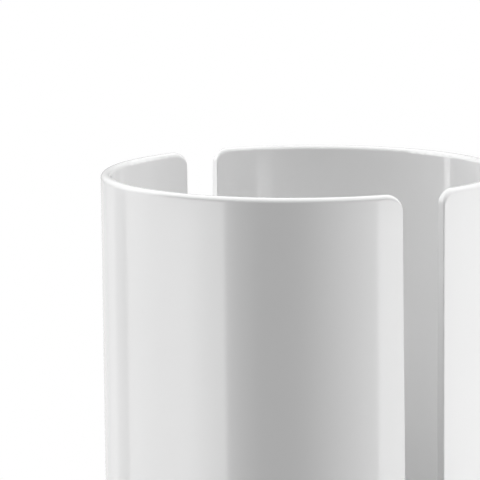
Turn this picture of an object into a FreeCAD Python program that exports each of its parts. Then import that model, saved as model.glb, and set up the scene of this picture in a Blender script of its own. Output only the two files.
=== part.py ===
import FreeCAD, Part
import math
import os

# Umbrella stand: two tall half-round shells stand around a weighted base tub, with a slit between
# them at the front and at the back. Millimetres. +Z is up, the front slit faces -Y, and the origin
# is on the floor at the centre of the stand.

# Driving dimensions
OUTER_R = 120.0          # outside radius of both shells and of the base flange
WALL = 6.0               # thickness of a shell
HEIGHT = 500.0           # rim above the floor
RIGHT_HALF = 14.7        # from the middle plane to the right shell's edges, at the rim
LEFT_FRONT_HALF = 14.2   # the same for the left shell's front edge
LEFT_BACK_HALF = 6.8     # and for its back edge, which reaches further round
SLIT_DRAFT = 0.3         # degrees that each slit edge leans, so a slit narrows on its way down
CORNER_R = 9.0           # round corner where a slit meets the rim
RIM_EDGE_R = 2.7         # rounding of the rim's two edges, nearly half the wall
SLIT_EDGE_R = 0.9        # rounding of a slit's two edges
BASE_Z = 4.0             # underside of the base above the floor

# Base tub
FIT_GAP = 0.3            # clearance between the tub and a shell's inside
TUB_WALL = 3.5
TUB_TOP = 78.0           # upper edge of the tub's wall
FLANGE_T = 3.0           # flange that the shells stand on
BREAK = 0.8              # broken edge of the moulded base parts
FLOOR_Z = 26.0           # top of the tub's floor
FLOOR_T = 3.0
BOSS_R = 5.5             # screw boss under the floor
BOSS_PITCH_R = 76.0      # circle of the four bosses
PILOT_R = 1.6

# Fixing of the shells: three screws each, from inside the tub
SCREW_Z = 52.0
SCREW_SPREAD = 52.0      # degrees from a shell's middle to its outer screws
PAD_R = 6.0              # round pad on a shell that enters the tub's wall
PAD_GAP = 0.25
SCREW_R = 2.0
SCREW_HOLE_R = 2.3
HEAD_R = 3.8
HEAD_T = 2.4
HEAD_ROUND = 1.4
RECESS_R = 1.3           # half the reach of the cross recess
RECESS_DEPTH = 1.2
WASHER_R = 9.0
WASHER_T = 1.2
SKIN = 1.5               # solid shell left outside a screw hole
TIP_GAP = 0.7            # end of a screw to the end of its hole
TIP_L = 1.5              # pointed end of a screw
RECESS_HALF_W = 0.35

# Ballast, its pad and the cover under it
BALLAST_R = 100.0
BALLAST_T = 10.0
BALLAST_HOLE_R = 7.5
BALLAST_CENTRE_R = 15.0
BALLAST_EDGE = 1.0
PAD_RING_R = 62.0        # foam ring between the cover and the ballast
PAD_RING_IN_R = 40.0
COVER_T = 2.5
COVER_SCREW_L = 12.0
COVER_HEAD_R = 3.6
COVER_HEAD_T = 1.5
FOOT_PITCH_R = 92.0
FOOT_R = 11.0
STEM_R = 4.0
STEM_HOLE_R = 4.2
STEM_HEAD_R = 5.2
STEM_HEAD_H = 3.0

# Drip tray and mat
TRAY_R = 103.5           # outside radius of the tray's wall
TRAY_WALL = 2.2
LIP_R = OUTER_R - WALL - 1.2
LIP_T = 2.2
LIP_GAP = 0.4            # under the tray's lip, because the tray rests on its floor
SEAT_GAP = 0.05          # under a piece that lifts out
GRIP_ARC = 30.0          # degrees that a finger grip spans
GRIP_H = 28.0
GRIP_T = 3.0
GRIP_HOOK = 4.5          # inward roll along a grip's top, for the fingertips
GRIP_CORNER_R = 9.0
MAT_R = 97.5
MAT_T = 3.0
MAT_STAND = 2.5          # height of the mat's feet
MAT_HOLE_R = 3.5
MAT_FOOT_R = 3.0
MAT_RINGS = ((0.0, 1), (20.0, 6), (40.0, 12), (60.0, 18), (80.0, 24))
MAT_FOOT_RINGS = ((30.0, 6), (70.0, 12), (90.0, 18))

INNER_R = OUTER_R - WALL
SHELL_Z = BASE_Z + FLANGE_T
TUB_R = INNER_R - FIT_GAP
TUB_IN_R = TUB_R - TUB_WALL
PAD_FACE_R = INNER_R - TUB_WALL
WASHER_FACE_R = math.sqrt(TUB_IN_R**2 - WASHER_R**2) - WASHER_T
COVER_TOP = BASE_Z + COVER_T
BALLAST_TOP = FLOOR_Z - FLOOR_T
BALLAST_Z = BALLAST_TOP - BALLAST_T
TRAY_Z = FLOOR_Z + SEAT_GAP
TRAY_FLOOR_Z = TRAY_Z + TRAY_WALL
LIP_Z = TUB_TOP + LIP_GAP
QUARTERS = (45.0, 135.0, 225.0, 315.0)
FEET = {"right": 0.0, "back": 90.0, "left": 180.0, "front": 270.0}
FAR = 2 * OUTER_R
NEAR = 0.05              # tolerance for picking edges
UP = FreeCAD.Vector(0, 0, 1)
ORIGIN = FreeCAD.Vector(0, 0, 0)


def at(radius, angle, z=0.0):
    """Point at a plan radius and angle in degrees."""
    a = math.radians(angle)
    return FreeCAD.Vector(radius * math.cos(a), radius * math.sin(a), z)


def disc(radius, z0, z1, centre=ORIGIN):
    """Upright cylinder between two heights."""
    return Part.makeCylinder(radius, z1 - z0, centre + UP * z0)


def ring(outer, inner, z0, z1):
    return disc(outer, z0, z1).cut(disc(inner, z0, z1))


def radial(radius, r0, r1, angle, z):
    """Cylinder that lies along a plan radius, from r0 to r1."""
    return Part.makeCylinder(radius, r1 - r0, at(r0, angle, z), at(1.0, angle))


def turned(profile):
    """Solid of revolution about Z from closed (radius, z) corner points."""
    points = [FreeCAD.Vector(r, 0, z) for r, z in profile]
    face = Part.Face(Part.makePolygon(points + points[:1]))
    return face.revolve(ORIGIN, UP, 360)


def shell_angles(middle):
    return (middle - SCREW_SPREAD, middle, middle + SCREW_SPREAD)


def one_side(z, front_half, back_half):
    """Plan outline, at height z, of the space on the +X side of both slits."""
    lean = (HEIGHT - z) * math.tan(math.radians(SLIT_DRAFT))
    front = front_half - lean
    back = back_half - lean
    plan = ((front, -FAR), (FAR, -FAR), (FAR, FAR), (back, FAR), (back, 0), (front, 0))
    points = [FreeCAD.Vector(x, y, z) for x, y in plan]
    return Part.makePolygon(points + points[:1])


def on_rim(edge):
    return all(abs(v.Z - HEIGHT) < NEAR for v in edge.Vertexes)


def across_wall(edge):
    """True for an edge that runs from the outside face to the inside face."""
    radii = [math.hypot(v.X, v.Y) for v in edge.Vertexes]
    return max(radii) - min(radii) > WALL / 2


def edge_radius(vertex):
    return RIM_EDGE_R if abs(vertex.Z - HEIGHT) < NEAR else SLIT_EDGE_R


def rounded(wall):
    """Round the shown edges; the radius changes along each corner from the slit's to the rim's."""
    doc = FreeCAD.newDocument()
    plain = doc.addObject("Part::Feature")
    plain.Shape = wall
    fillet = doc.addObject("Part::Fillet")
    fillet.Base = plain
    fillet.Edges = [
        (number, edge_radius(edge.firstVertex()), edge_radius(edge.lastVertex()))
        for number, edge in enumerate(wall.Edges, 1)
        if edge.BoundBox.ZMax > SHELL_Z + NEAR and not across_wall(edge)
    ]
    doc.recompute()
    return fillet.Shape.Solids[0]


def shell(front_half, back_half):
    """Half-round wall on the +X side, with pads and screw holes near its foot."""
    outlines = [one_side(z, front_half, back_half) for z in (0.0, HEIGHT)]
    side = Part.makeLoft(outlines, True, True)
    wall = ring(OUTER_R, INNER_R, SHELL_Z, HEIGHT).common(side).Solids[0]
    wall = wall.makeFillet(CORNER_R, [e for e in wall.Edges if on_rim(e) and across_wall(e)])
    wall = rounded(wall)
    for angle in shell_angles(0.0):
        wall = wall.fuse(radial(PAD_R, PAD_FACE_R, INNER_R + WALL / 2, angle, SCREW_Z))
    for angle in shell_angles(0.0):
        wall = wall.cut(radial(PILOT_R, PAD_FACE_R, OUTER_R - SKIN, angle, SCREW_Z))
    return wall.removeSplitter()


def right_shell():
    return shell(RIGHT_HALF, RIGHT_HALF)


def left_shell():
    return shell(LEFT_FRONT_HALF, LEFT_BACK_HALF).mirror(ORIGIN, FreeCAD.Vector(1, 0, 0))


def base_tub():
    profile = (
        (TUB_IN_R, BASE_Z),
        (OUTER_R - BREAK, BASE_Z),
        (OUTER_R, BASE_Z + BREAK),
        (OUTER_R, SHELL_Z),
        (TUB_R, SHELL_Z),
        (TUB_R, TUB_TOP - BREAK),
        (TUB_R - BREAK, TUB_TOP),
        (TUB_IN_R + BREAK, TUB_TOP),
        (TUB_IN_R, TUB_TOP - BREAK),
        (TUB_IN_R, FLOOR_Z + 2 * BREAK),
        (TUB_IN_R - 2 * BREAK, FLOOR_Z),
        (0, FLOOR_Z),
        (0, BALLAST_TOP),
        (TUB_IN_R, BALLAST_TOP),
    )
    tub = turned(profile)
    for angle in QUARTERS:
        tub = tub.fuse(disc(BOSS_R, COVER_TOP, FLOOR_Z - BREAK, at(BOSS_PITCH_R, angle)))
    for angle in QUARTERS:
        hole = disc(PILOT_R, COVER_TOP, COVER_TOP + COVER_SCREW_L, at(BOSS_PITCH_R, angle))
        tub = tub.cut(hole)
    for angle in shell_angles(0.0) + shell_angles(180.0):
        tub = tub.cut(radial(PAD_R + PAD_GAP, TUB_IN_R - BREAK, TUB_R + BREAK, angle, SCREW_Z))
    return tub.removeSplitter()


def cross_recess(z):
    """Two crossed slots that open downwards at height z."""
    corner = FreeCAD.Vector(-RECESS_R, -RECESS_HALF_W, z)
    arm = Part.makeBox(2 * RECESS_R, 2 * RECESS_HALF_W, RECESS_DEPTH, corner)
    other = arm.copy()
    other.rotate(ORIGIN, UP, 90)
    return arm.fuse(other)


def shank(z0, z1):
    """Screw thread's outside, with a pointed upper end."""
    tip = Part.makeCone(SCREW_R, SCREW_R / 2, TIP_L, UP * (z1 - TIP_L))
    return disc(SCREW_R, z0, z1 - TIP_L).fuse(tip)


def pan_screw(length):
    """Pan-head screw along +Z, with the underside of its head at z = 0."""
    head = disc(HEAD_R, -HEAD_T, 0)
    top_edge = [e for e in head.Edges if e.BoundBox.ZMax < -HEAD_T / 2]
    head = head.makeFillet(HEAD_ROUND, top_edge)
    return head.fuse(shank(0, length)).cut(cross_recess(-HEAD_T)).removeSplitter()


def shell_screws():
    screws = []
    for angle in shell_angles(0.0) + shell_angles(180.0):
        screw = pan_screw(OUTER_R - SKIN - TIP_GAP - WASHER_FACE_R)
        turn = FreeCAD.Rotation(UP, at(1.0, angle))
        screw.Placement = FreeCAD.Placement(at(WASHER_FACE_R, angle, SCREW_Z), turn)
        screws.append(screw)
    return Part.makeCompound(screws)


def shell_washers():
    """Shaped washers: flat under the screw head and curved against the tub's wall."""
    washers = []
    for angle in shell_angles(0.0) + shell_angles(180.0):
        body = radial(WASHER_R, WASHER_FACE_R, TUB_IN_R, angle, SCREW_Z)
        body = body.common(disc(TUB_IN_R, 0, HEIGHT))
        washers.append(body.cut(radial(SCREW_HOLE_R, 0, OUTER_R, angle, SCREW_Z)))
    return Part.makeCompound(washers)


def long_edges(shape):
    return [e for e in shape.Edges if e.Length > OUTER_R]


def ballast_plate():
    plate = disc(BALLAST_R, BALLAST_Z, BALLAST_TOP)
    plate = plate.makeChamfer(BALLAST_EDGE, long_edges(plate))
    plate = plate.cut(disc(BALLAST_CENTRE_R, BALLAST_Z, BALLAST_TOP))
    for angle in QUARTERS:
        plate = plate.cut(disc(BALLAST_HOLE_R, BALLAST_Z, BALLAST_TOP, at(BOSS_PITCH_R, angle)))
    return plate


def ballast_pad():
    """Foam ring that holds the ballast up against the tub's floor."""
    return ring(PAD_RING_R, PAD_RING_IN_R, COVER_TOP, BALLAST_Z)


def base_cover():
    cover = disc(TUB_IN_R - FIT_GAP, BASE_Z, COVER_TOP)
    cover = cover.makeChamfer(BREAK, long_edges(cover))
    for angle in QUARTERS:
        centre = at(BOSS_PITCH_R, angle)
        sink = Part.makeCone(COVER_HEAD_R, SCREW_HOLE_R, COVER_HEAD_T, centre + UP * BASE_Z)
        cover = cover.cut(disc(SCREW_HOLE_R, BASE_Z, COVER_TOP, centre).fuse(sink))
    for angle in FEET.values():
        cover = cover.cut(disc(STEM_HOLE_R, BASE_Z, COVER_TOP, at(FOOT_PITCH_R, angle)))
    return cover


def cover_screws():
    head = Part.makeCone(COVER_HEAD_R, SCREW_R, COVER_HEAD_T, UP * BASE_Z)
    thread = shank(BASE_Z + COVER_HEAD_T, COVER_TOP + COVER_SCREW_L - TIP_GAP)
    screw = head.fuse(thread).cut(cross_recess(BASE_Z)).removeSplitter()
    return Part.makeCompound([screw.translated(at(BOSS_PITCH_R, a)) for a in QUARTERS])


def rubber_foot(angle):
    """Push-in foot: a pad under the cover, a stem through it and a bead that holds it."""
    profile = (
        (0, 0),
        (FOOT_R - BREAK, 0),
        (FOOT_R, BREAK),
        (FOOT_R - BREAK, BASE_Z),
        (STEM_R, BASE_Z),
        (STEM_R, COVER_TOP),
        (STEM_HEAD_R, COVER_TOP + BREAK / 2),
        (STEM_R - BREAK, COVER_TOP + STEM_HEAD_H),
        (0, COVER_TOP + STEM_HEAD_H),
    )
    return turned(profile).translated(at(FOOT_PITCH_R, angle))


def drip_tray():
    inside = TRAY_R - TRAY_WALL
    lip_top = LIP_Z + LIP_T
    profile = (
        (0, TRAY_Z),
        (TRAY_R - 2 * TRAY_WALL, TRAY_Z),
        (TRAY_R - TRAY_WALL / 2, TRAY_Z + TRAY_WALL / 2),
        (TRAY_R, TRAY_Z + 2 * TRAY_WALL),
        (TRAY_R, LIP_Z),
        (LIP_R, LIP_Z),
        (LIP_R, lip_top - BREAK),
        (LIP_R - BREAK, lip_top),
        (inside + BREAK, lip_top),
        (inside, lip_top - BREAK),
        (inside, TRAY_FLOOR_Z + TRAY_WALL),
        (inside - TRAY_WALL, TRAY_FLOOR_Z),
        (0, TRAY_FLOOR_Z),
    )
    return turned(profile).fuse([finger_grip(0.0), finger_grip(180.0)]).removeSplitter()


def finger_grip(middle):
    """Upright tab on the tray's lip, curved with it and hooked inwards along its top."""
    outer = LIP_R - BREAK
    inner = outer - GRIP_T
    z0 = LIP_Z + LIP_T / 2
    z1 = LIP_Z + LIP_T + GRIP_H
    profile = (
        (inner, z0),
        (outer, z0),
        (outer, z1 - BREAK),
        (outer - BREAK, z1),
        (inner - GRIP_HOOK + BREAK, z1),
        (inner - GRIP_HOOK, z1 - BREAK),
        (inner - GRIP_HOOK, z1 - GRIP_T + BREAK),
        (inner - GRIP_HOOK + BREAK, z1 - GRIP_T),
        (inner, z1 - 2 * GRIP_T),
    )
    points = [FreeCAD.Vector(r, 0, z) for r, z in profile]
    face = Part.Face(Part.makePolygon(points + points[:1]))
    tab = face.revolve(ORIGIN, UP, GRIP_ARC)
    tab.rotate(ORIGIN, UP, middle - GRIP_ARC / 2)
    return tab.common(rounded_gate(middle, z0, z1))


def rounded_gate(middle, z0, z1):
    """Block along a plan radius that rounds a grip's two upper corners."""
    half = OUTER_R * math.sin(math.radians(GRIP_ARC / 2)) - BREAK
    block = Part.makeBox(OUTER_R, 2 * half, z1 - z0, FreeCAD.Vector(0, -half, z0))
    along = [e for e in block.Edges if e.BoundBox.XLength > WALL and e.BoundBox.ZMin > z0]
    block = block.makeFillet(GRIP_CORNER_R, along)
    block.rotate(ORIGIN, UP, middle)
    return block


def discs_on_rings(rings, radius, z0, z1, phase):
    """Upright cylinders spread evenly on (ring radius, count) circles."""
    discs = []
    for ring_r, count in rings:
        for i in range(count):
            discs.append(disc(radius, z0, z1, at(ring_r, 360.0 * (i + phase) / count)))
    return discs


def tip_mat():
    z0 = TRAY_FLOOR_Z + SEAT_GAP
    under = z0 + MAT_STAND
    top = under + MAT_T
    mat = disc(MAT_R, under, top)
    mat = mat.makeChamfer(BREAK, long_edges(mat))
    mat = mat.fuse(discs_on_rings(MAT_FOOT_RINGS, MAT_FOOT_R, z0, under + MAT_T / 2, 0.5))
    return mat.cut(discs_on_rings(MAT_RINGS, MAT_HOLE_R, under, top, 0.0)).removeSplitter()


def save(name, shape):
    solids = shape.Solids
    good = all(s.isValid() for s in solids)
    volume = sum(s.Volume for s in solids)
    print(f"{name}: {len(solids)} solid(s), valid {good}, {volume / 1000:.1f} cm3")
    whole = solids[0] if len(solids) == 1 else Part.makeCompound(solids)
    whole.exportStep(f"parts/{name}.step")


os.makedirs("parts", exist_ok=True)
save("left_shell", left_shell())
save("right_shell", right_shell())
save("base_tub", base_tub())
save("shell_screws", shell_screws())
save("shell_washers", shell_washers())
save("ballast_plate", ballast_plate())
save("ballast_pad", ballast_pad())
save("base_cover", base_cover())
save("cover_screws", cover_screws())
for side, angle in FEET.items():
    save(f"foot_{side}", rubber_foot(angle))
save("drip_tray", drip_tray())
save("tip_mat", tip_mat())
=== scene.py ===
import math
import bmesh
import bpy
from mathutils import Matrix, Vector


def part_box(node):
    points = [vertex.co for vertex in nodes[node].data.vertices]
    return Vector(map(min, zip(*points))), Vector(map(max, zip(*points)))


# Umbrella stand in glossy white plastic: materials, soft studio light and the camera around the
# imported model. Metres; +Z is up, and the front slit faces -Y.

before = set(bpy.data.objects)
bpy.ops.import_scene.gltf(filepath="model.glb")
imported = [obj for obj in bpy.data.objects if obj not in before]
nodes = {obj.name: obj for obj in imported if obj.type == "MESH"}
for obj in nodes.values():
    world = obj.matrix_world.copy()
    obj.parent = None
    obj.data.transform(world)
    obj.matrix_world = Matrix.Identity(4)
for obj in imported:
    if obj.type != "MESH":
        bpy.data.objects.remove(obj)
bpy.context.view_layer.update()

# Driving values
VIEW_AZIMUTH = -35.1         # degrees round from the front slit, as the other views count it
VIEW_ELEVATION = 7.68        # degrees above the rim
VIEW_ROLL = 0.6              # degrees that the right side of the picture stands high
VIEW_DISTANCE = 2.304        # from the camera to the middle of the rim
LENS = 290.9                 # millimetres, on a sensor 36 mm wide
SENSOR = 36.0
NEAR_CLIP = 0.05
FAR_CLIP = 50.0
AIM_RIGHT = -0.0376          # the camera aims this far right of the rim's middle
AIM_UP = -0.0412             # and this far above it

# The studio is a ring of low panels, a ring of high softboxes and an overhead light. An angle is
# counted from the camera's side of the stand, positive to the camera's right.
LOW_PEAK = 9.5               # radiance of a ring's brightest panel
HIGH_PEAK = 3.9
TOP_RADIANCE = 1.6
UNDER_RADIANCE = 0.02
LOW_SINE = -0.232           # sines of the elevations between under, low, high and overhead
EYE_SINE = -0.128
HIGH_SINE = 0.62
SOFT_SINE = 0.02             # how softly one ring passes into the next
LOW_RING = (                 # (angle, share of the ring's peak)
    (-180.0, 0.09),
    (-150.0, 0.10),
    (-137.0, 0.15),
    (-134.0, 0.12),
    (-121.5, 0.12),
    (-118.0, 0.23),
    (-95.0, 0.41),
    (-70.0, 0.66),
    (-46.0, 0.58),
    (-43.5, 0.28),
    (-37.0, 0.13),
    (-25.0, 0.01),
    (-12.0, 0.0),
    (-2.0, 0.03),
    (20.0, 0.25),
    (41.0, 0.44),
    (43.5, 0.74),
    (58.0, 0.70),
    (72.0, 0.62),
    (86.0, 0.50),
    (100.0, 0.40),
    (125.0, 0.20),
    (150.0, 0.07),
    (180.0, 0.07),
)
HIGH_RING = (
    (-180.0, 0.08),
    (-140.0, 0.20),
    (-115.0, 0.70),
    (-98.0, 0.68),
    (-80.0, 0.03),
    (56.0, 0.01),
    (85.0, 0.50),
    (110.0, 0.40),
    (140.0, 0.12),
    (180.0, 0.08),
)

FLOOR_R = 1.1                # radius of the pale floor disc
FLOOR_FADE = 0.6             # radius where the floor starts to fade out
FLOOR_SIDES = 128

PLASTIC_IOR = 1.49
RUBBER_IOR = 1.52


def rim_middle():
    low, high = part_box("left_shell")
    return Vector((0.0, 0.0, high[2]))


def polar(azimuth, elevation, distance):
    """Offset from the object for an azimuth counted from -Y towards +X, in degrees."""
    az = math.radians(azimuth)
    el = math.radians(elevation)
    flat = distance * math.cos(el)
    return Vector((math.sin(az) * flat, -math.cos(az) * flat, math.sin(el) * distance))


# Node helpers

def new_material(name):
    mat = bpy.data.materials.new(name)
    mat.use_nodes = True
    tree = mat.node_tree
    shader = tree.nodes["Principled BSDF"]
    return mat, tree, shader


def add(tree, kind, **values):
    """New node with its properties set from keywords."""
    node = tree.nodes.new(kind)
    for key, value in values.items():
        setattr(node, key, value)
    return node


def object_noise(tree, scale, detail=3.0, rough=0.5):
    """3-D noise in the object's own coordinates; scale is in cells per metre."""
    coord = add(tree, "ShaderNodeTexCoord")
    noise = add(tree, "ShaderNodeTexNoise")
    noise.inputs["Scale"].default_value = scale
    noise.inputs["Detail"].default_value = detail
    noise.inputs["Roughness"].default_value = rough
    tree.links.new(coord.outputs["Object"], noise.inputs["Vector"])
    return noise.outputs["Fac"]


def ramp(tree, source, stops):
    """Colour ramp from (position, colour) stops."""
    node = add(tree, "ShaderNodeValToRGB")
    marks = node.color_ramp.elements
    for mark, (place, colour) in zip(marks, stops):
        mark.position = place
        mark.color = (*colour, 1.0)
    for place, colour in stops[2:]:
        mark = marks.new(place)
        mark.color = (*colour, 1.0)
    tree.links.new(source, node.inputs["Fac"])
    return node.outputs["Color"]


def spread(tree, source, low, high):
    """Map a 0..1 value to low..high."""
    node = add(tree, "ShaderNodeMapRange")
    node.inputs["To Min"].default_value = low
    node.inputs["To Max"].default_value = high
    tree.links.new(source, node.inputs["Value"])
    return node.outputs["Result"]


def bump(tree, shader, source, strength, depth):
    """Surface relief from a 0..1 value; depth is in metres."""
    node = add(tree, "ShaderNodeBump")
    node.inputs["Strength"].default_value = strength
    node.inputs["Distance"].default_value = depth
    tree.links.new(source, node.inputs["Height"])
    tree.links.new(node.outputs["Normal"], shader.inputs["Normal"])


def grey(value):
    return (value, value, value)


# Materials

def gloss_white():
    """Glossy moulded white plastic: faint waviness, faint uneven polish."""
    mat, tree, shader = new_material("shell_gloss_white")
    cloud = object_noise(tree, scale=9.0, detail=2.0)
    tint = ramp(tree, cloud, ((0.35, grey(0.905)), (0.65, grey(0.92))))
    tree.links.new(tint, shader.inputs["Base Color"])
    polish = object_noise(tree, scale=55.0, detail=4.0, rough=0.6)
    tree.links.new(spread(tree, polish, low=0.035, high=0.075), shader.inputs["Roughness"])
    shader.inputs["IOR"].default_value = PLASTIC_IOR
    wave = object_noise(tree, scale=26.0, detail=1.0)
    bump(tree, shader, wave, strength=0.12, depth=0.00018)
    return mat


def satin_white():
    """The base's white plastic, less polished than the shells."""
    mat, tree, shader = new_material("base_satin_white")
    cloud = object_noise(tree, scale=12.0, detail=2.0)
    tint = ramp(tree, cloud, ((0.35, grey(0.86)), (0.65, grey(0.88))))
    tree.links.new(tint, shader.inputs["Base Color"])
    polish = object_noise(tree, scale=70.0, detail=4.0, rough=0.6)
    tree.links.new(spread(tree, polish, low=0.18, high=0.26), shader.inputs["Roughness"])
    shader.inputs["IOR"].default_value = PLASTIC_IOR
    grain = object_noise(tree, scale=900.0, detail=2.0)
    bump(tree, shader, grain, strength=0.1, depth=0.00005)
    return mat


def matte_plastic(name, dark, pale, rough):
    """Moulded plastic with a fine spark-eroded grain."""
    mat, tree, shader = new_material(name)
    cloud = object_noise(tree, scale=16.0, detail=3.0)
    tint = ramp(tree, cloud, ((0.35, dark), (0.65, pale)))
    tree.links.new(tint, shader.inputs["Base Color"])
    polish = object_noise(tree, scale=180.0, detail=4.0, rough=0.6)
    uneven = spread(tree, polish, low=rough, high=rough + 0.14)
    tree.links.new(uneven, shader.inputs["Roughness"])
    shader.inputs["IOR"].default_value = PLASTIC_IOR
    grain = object_noise(tree, scale=1600.0, detail=2.0)
    bump(tree, shader, grain, strength=0.35, depth=0.00012)
    return mat


def rubber(name, dark, pale, grain):
    """Dull rubber, a little dusty; the grain is in cells per metre."""
    mat, tree, shader = new_material(name)
    dust = object_noise(tree, scale=45.0, detail=6.0, rough=0.65)
    tint = ramp(tree, dust, ((0.4, grey(dark)), (0.75, grey(pale))))
    tree.links.new(tint, shader.inputs["Base Color"])
    tree.links.new(spread(tree, dust, low=0.62, high=0.84), shader.inputs["Roughness"])
    shader.inputs["IOR"].default_value = RUBBER_IOR
    shader.inputs["Specular IOR Level"].default_value = 0.35
    skin = object_noise(tree, scale=grain, detail=3.0)
    bump(tree, shader, skin, strength=0.4, depth=0.0002)
    return mat


def foam():
    """Open-cell foam: black, with deep soft pores; the pores' depths are painted darker as shade.
    """
    mat, tree, shader = new_material("foam_black")
    coord = add(tree, "ShaderNodeTexCoord")
    cells = add(tree, "ShaderNodeTexVoronoi", feature="SMOOTH_F1")
    cells.inputs["Scale"].default_value = 700.0
    tree.links.new(coord.outputs["Object"], cells.inputs["Vector"])
    pores = cells.outputs["Distance"]
    # painted shade: the colour darkens towards each pore's centre, where the pore is deepest
    tint = ramp(tree, pores, ((0.1, grey(0.012)), (0.6, grey(0.045))))
    tree.links.new(tint, shader.inputs["Base Color"])
    shader.inputs["Roughness"].default_value = 0.95
    bump(tree, shader, pores, strength=0.8, depth=0.0005)
    return mat


def steel(name, dark, pale, rough, streak):
    """Bare or plated steel; streak stretches the polish marks along X."""
    mat, tree, shader = new_material(name)
    coord = add(tree, "ShaderNodeTexCoord")
    stretch = add(tree, "ShaderNodeMapping")
    stretch.inputs["Scale"].default_value = (1.0 / streak, 1.0, 1.0)
    tree.links.new(coord.outputs["Object"], stretch.inputs["Vector"])
    marks = add(tree, "ShaderNodeTexNoise")
    marks.inputs["Scale"].default_value = 420.0
    marks.inputs["Detail"].default_value = 4.0
    tree.links.new(stretch.outputs["Vector"], marks.inputs["Vector"])
    cloud = object_noise(tree, scale=30.0, detail=4.0)
    tree.links.new(ramp(tree, cloud, ((0.35, dark), (0.65, pale))), shader.inputs["Base Color"])
    polish = spread(tree, marks.outputs["Fac"], low=rough, high=rough + 0.22)
    tree.links.new(polish, shader.inputs["Roughness"])
    shader.inputs["Metallic"].default_value = 1.0
    bump(tree, shader, marks.outputs["Fac"], strength=0.15, depth=0.00006)
    return mat


def give(material, *names):
    for name in names:
        mesh = nodes[name].data
        mesh.materials.clear()
        mesh.materials.append(material)


# Studio

def ring_light(tree, around, marks, peak):
    """Radiance round the horizon from (angle, share) marks; around runs 0..1 from -180 to 180."""
    stops = [((angle + 180.0) / 360.0, grey(share)) for angle, share in marks]
    scale = add(tree, "ShaderNodeVectorMath", operation="SCALE")
    scale.inputs["Scale"].default_value = peak
    tree.links.new(ramp(tree, around, stops), scale.inputs[0])
    return scale.outputs["Vector"]


def above(tree, height, sine):
    """1 where the direction's height passes a sine of elevation, with a soft edge."""
    node = add(tree, "ShaderNodeMapRange", interpolation_type="SMOOTHSTEP")
    node.inputs["From Min"].default_value = sine - SOFT_SINE
    node.inputs["From Max"].default_value = sine + SOFT_SINE
    tree.links.new(height, node.inputs["Value"])
    return node.outputs["Result"]


VECTOR_A = 4                 # the mix node's sockets for vectors
VECTOR_B = 5
VECTOR_OUT = 1


def over(tree, lower, upper, share):
    """Mix of two radiances, each given as a socket or as a grey value."""
    node = add(tree, "ShaderNodeMix", data_type="VECTOR")
    tree.links.new(share, node.inputs["Factor"])
    for place, value in ((VECTOR_A, lower), (VECTOR_B, upper)):
        socket = node.inputs[place]
        if isinstance(value, float):
            socket.default_value = grey(value)
        else:
            tree.links.new(value, socket)
    return node.outputs[VECTOR_OUT]


def studio_world():
    """White behind the object for the camera, and the studio for light and reflections."""
    world = bpy.data.worlds.new("studio")
    bpy.context.scene.world = world
    world.use_nodes = True
    tree = world.node_tree
    tree.nodes.clear()
    coord = add(tree, "ShaderNodeTexCoord")
    turn = add(tree, "ShaderNodeVectorRotate", rotation_type="Z_AXIS")
    turn.inputs["Angle"].default_value = math.radians(-90.0 - VIEW_AZIMUTH) + math.pi
    tree.links.new(coord.outputs["Generated"], turn.inputs["Vector"])
    around = add(tree, "ShaderNodeTexGradient", gradient_type="RADIAL")
    tree.links.new(turn.outputs["Vector"], around.inputs["Vector"])
    split = add(tree, "ShaderNodeSeparateXYZ")
    tree.links.new(turn.outputs["Vector"], split.inputs["Vector"])
    height = split.outputs["Z"]
    low = ring_light(tree, around.outputs["Fac"], LOW_RING, LOW_PEAK)
    high = ring_light(tree, around.outputs["Fac"], HIGH_RING, HIGH_PEAK)
    light = over(tree, UNDER_RADIANCE, low, above(tree, height, LOW_SINE))
    light = over(tree, light, high, above(tree, height, EYE_SINE))
    light = over(tree, light, TOP_RADIANCE, above(tree, height, HIGH_SINE))
    studio = add(tree, "ShaderNodeBackground")
    tree.links.new(light, studio.inputs["Color"])
    white = add(tree, "ShaderNodeBackground")
    white.inputs["Color"].default_value = (1.0, 1.0, 1.0, 1.0)
    path = add(tree, "ShaderNodeLightPath")
    mix = add(tree, "ShaderNodeMixShader")
    out = add(tree, "ShaderNodeOutputWorld")
    tree.links.new(path.outputs["Is Camera Ray"], mix.inputs["Fac"])
    tree.links.new(studio.outputs["Background"], mix.inputs[1])
    tree.links.new(white.outputs["Background"], mix.inputs[2])
    tree.links.new(mix.outputs["Shader"], out.inputs["Surface"])


def floor_material():
    """Pale matt floor that fades out towards the edge of its disc."""
    mat, tree, shader = new_material("stage_floor")
    cloud = object_noise(tree, scale=14.0, detail=4.0)
    tint = ramp(tree, cloud, ((0.3, grey(0.78)), (0.7, grey(0.80))))
    tree.links.new(tint, shader.inputs["Base Color"])
    shader.inputs["Roughness"].default_value = 0.55
    coord = add(tree, "ShaderNodeTexCoord")
    length = add(tree, "ShaderNodeVectorMath", operation="LENGTH")
    tree.links.new(coord.outputs["Object"], length.inputs[0])
    fade = add(tree, "ShaderNodeMapRange", interpolation_type="SMOOTHSTEP")
    fade.inputs["From Min"].default_value = FLOOR_FADE
    fade.inputs["From Max"].default_value = FLOOR_R
    fade.inputs["To Min"].default_value = 1.0
    fade.inputs["To Max"].default_value = 0.0
    tree.links.new(length.outputs["Value"], fade.inputs["Value"])
    tree.links.new(fade.outputs["Result"], shader.inputs["Alpha"])
    return mat


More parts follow.
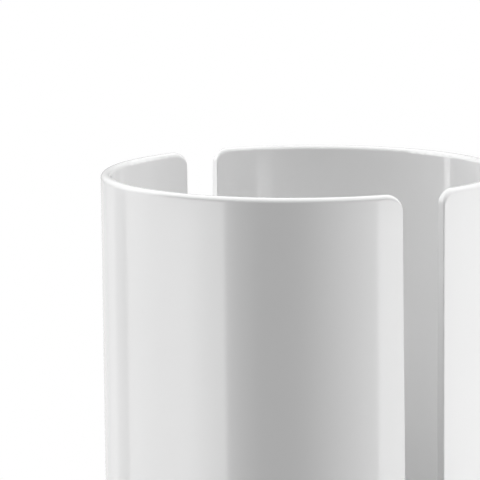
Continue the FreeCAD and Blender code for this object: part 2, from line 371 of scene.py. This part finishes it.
def floor():
    mesh = bpy.data.meshes.new("stage_floor")
    grid = bmesh.new()
    bmesh.ops.create_circle(grid, cap_ends=True, segments=FLOOR_SIDES, radius=FLOOR_R)
    grid.to_mesh(mesh)
    grid.free()
    mesh.materials.append(floor_material())
    disc = bpy.data.objects.new("stage_floor", mesh)
    bpy.context.scene.collection.objects.link(disc)
    disc.visible_diffuse = False


# Camera

def camera():
    lens = bpy.data.cameras.new("view")
    lens.lens = LENS
    lens.sensor_width = SENSOR
    lens.clip_start = NEAR_CLIP
    lens.clip_end = FAR_CLIP
    eye = bpy.data.objects.new("view", lens)
    bpy.context.scene.collection.objects.link(eye)
    bpy.context.scene.camera = eye
    centre = rim_middle()
    place = centre + polar(VIEW_AZIMUTH, VIEW_ELEVATION, VIEW_DISTANCE)
    turn = (centre - place).to_track_quat("-Z", "Y")
    right = turn @ Vector((1.0, 0.0, 0.0))
    up = turn @ Vector((0.0, 1.0, 0.0))
    target = centre + right * AIM_RIGHT + up * AIM_UP
    turn = (target - place).to_track_quat("-Z", "Y").to_matrix().to_4x4()
    roll = Matrix.Rotation(math.radians(-VIEW_ROLL), 4, "Z")
    eye.matrix_world = Matrix.Translation(place) @ turn @ roll


def plain_tones():
    """Show the studio's radiance as it is, without a film curve."""
    view = bpy.context.scene.view_settings
    view.view_transform = "Standard"
    view.look = "None"


# The scene

give(gloss_white(), "left_shell", "right_shell")
give(satin_white(), "base_tub")
give(matte_plastic("tray_grey", (0.30, 0.31, 0.32), (0.34, 0.35, 0.36), 0.42), "drip_tray")
give(matte_plastic("cover_grey", (0.17, 0.175, 0.18), (0.20, 0.205, 0.21), 0.5), "base_cover")
give(rubber("mat_rubber", 0.022, 0.040, 1300.0), "tip_mat")
give(
    rubber("foot_rubber", 0.018, 0.034, 1800.0),
    "foot_right", "foot_back", "foot_left", "foot_front",
)
give(foam(), "ballast_pad")
give(
    steel("ballast_steel", (0.36, 0.36, 0.37), (0.46, 0.46, 0.47), 0.34, 9.0),
    "ballast_plate",
)
give(
    steel("zinc_plated_steel", (0.62, 0.64, 0.66), (0.72, 0.73, 0.74), 0.2, 1.0),
    "shell_screws", "shell_washers", "cover_screws",
)
studio_world()
floor()
camera()
plain_tones()
